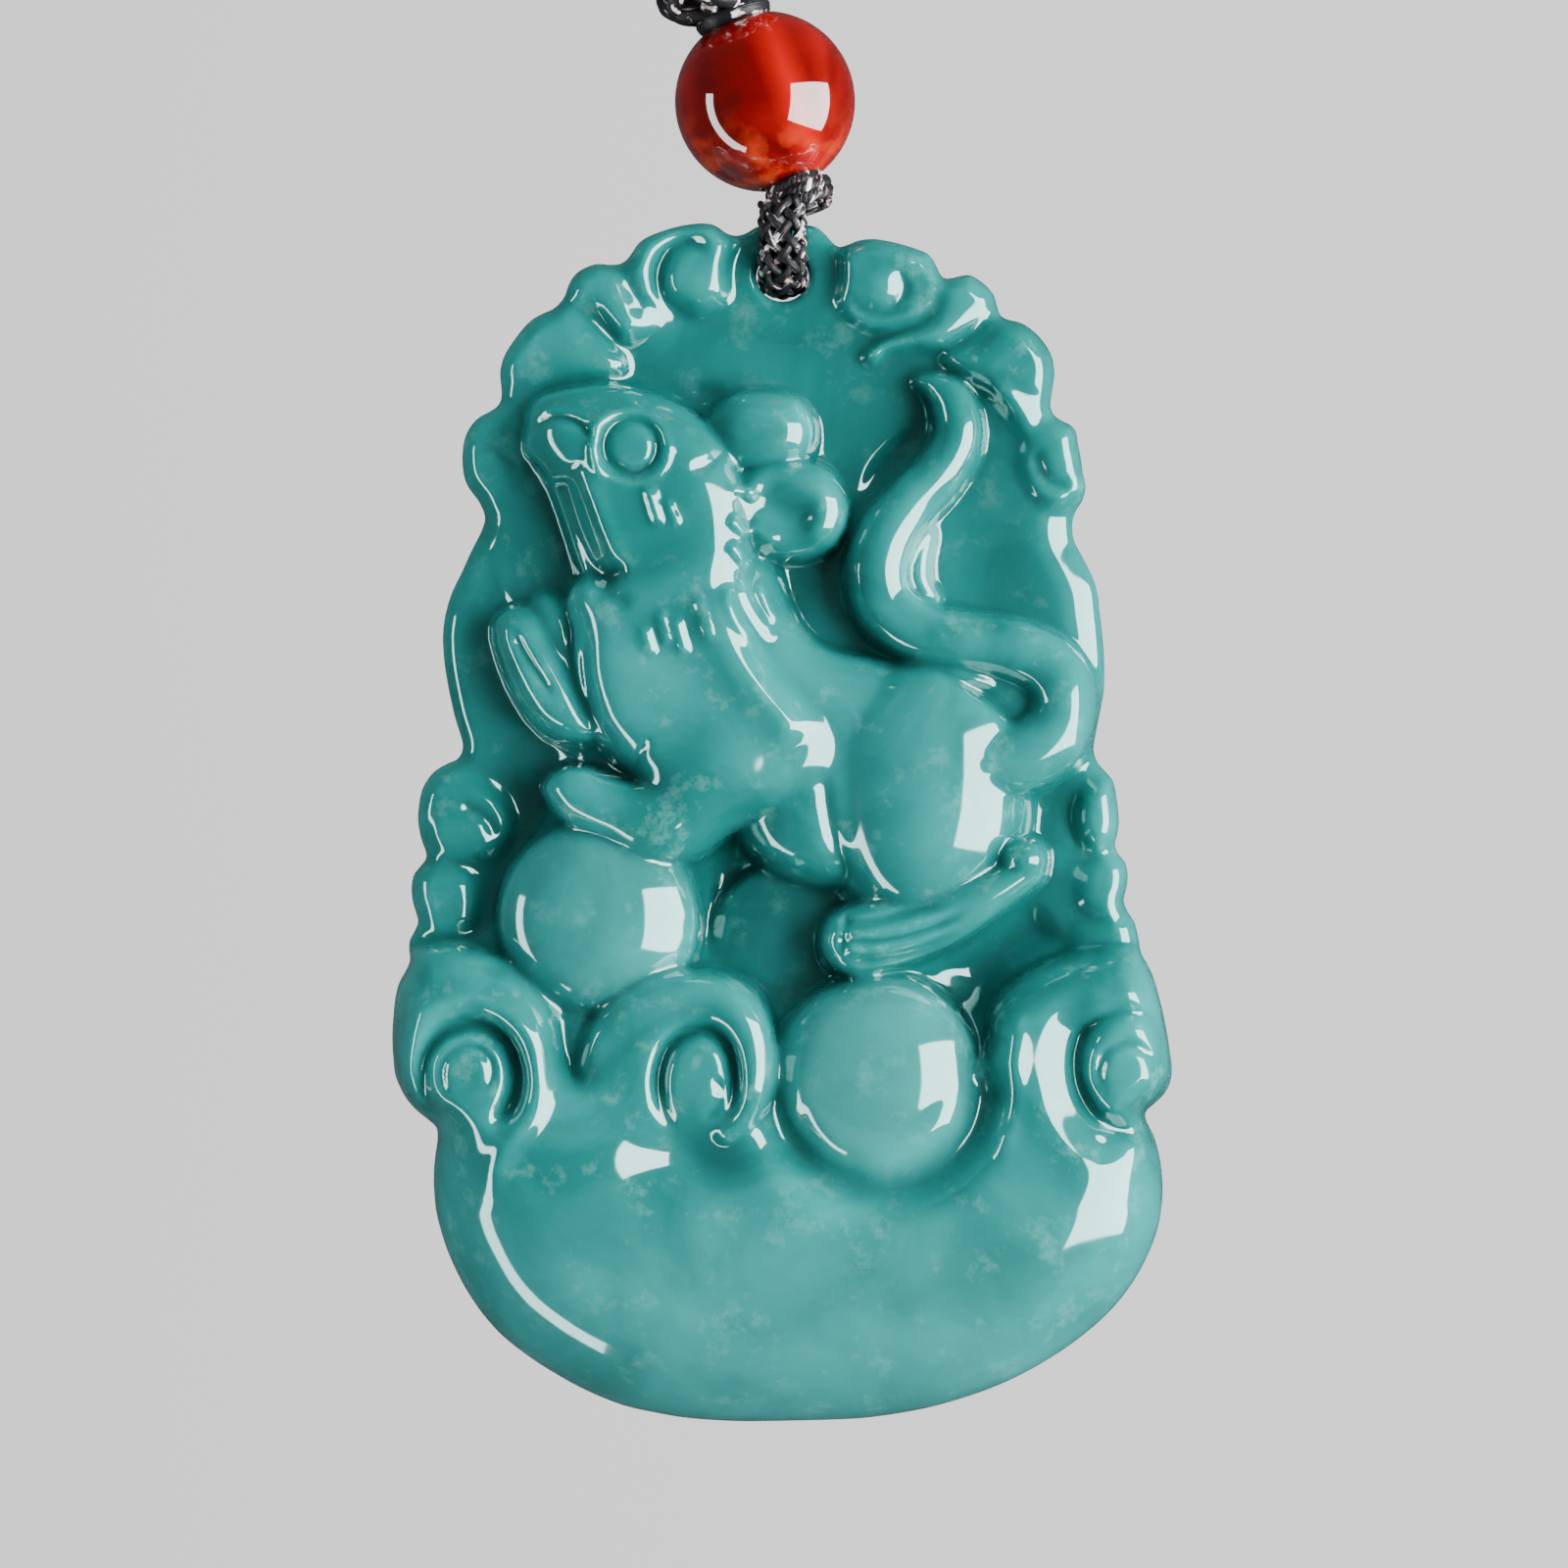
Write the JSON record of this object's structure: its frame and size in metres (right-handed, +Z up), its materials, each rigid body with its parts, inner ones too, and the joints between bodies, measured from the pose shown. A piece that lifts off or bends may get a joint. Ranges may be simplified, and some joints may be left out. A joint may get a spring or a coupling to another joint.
{
  "type": "jade zodiac pendant",
  "caption": "Carved jade plaque with a rat standing on balls above a ruyi scroll base, hung by a braided cord with a red bead.",
  "frame": {"origin": "inner side of the top of the hanging cord's loop, where a hook or a neck cord holds it", "axes": "+Z up, +X to the viewer's right, the carved face looks along -Y"},
  "size_m": [0.0344, 0.01, 0.0875],
  "materials": {
    "jade": "polished, translucent blue-green",
    "bead": "polished, translucent red",
    "cord": "black braid with silver and pinkish flecks"
  },
  "bodies": {
    "cord": {"hanging_cord": "cord", "upper_knot": "cord", "agate_bead": "bead", "bead_thread": "cord", "lower_knot": "cord", "pendant_loop": "cord"},
    "jade": {"jade_pendant": "jade"}
  },
  "joints": [
    {"name": "pendant_swing", "type": "hinge", "parent": "cord", "child": "jade", "pos_m": [0.00413, 0, -0.03528], "axis": [0, 1, 0], "range_deg": [-20, 20]}
  ]
}
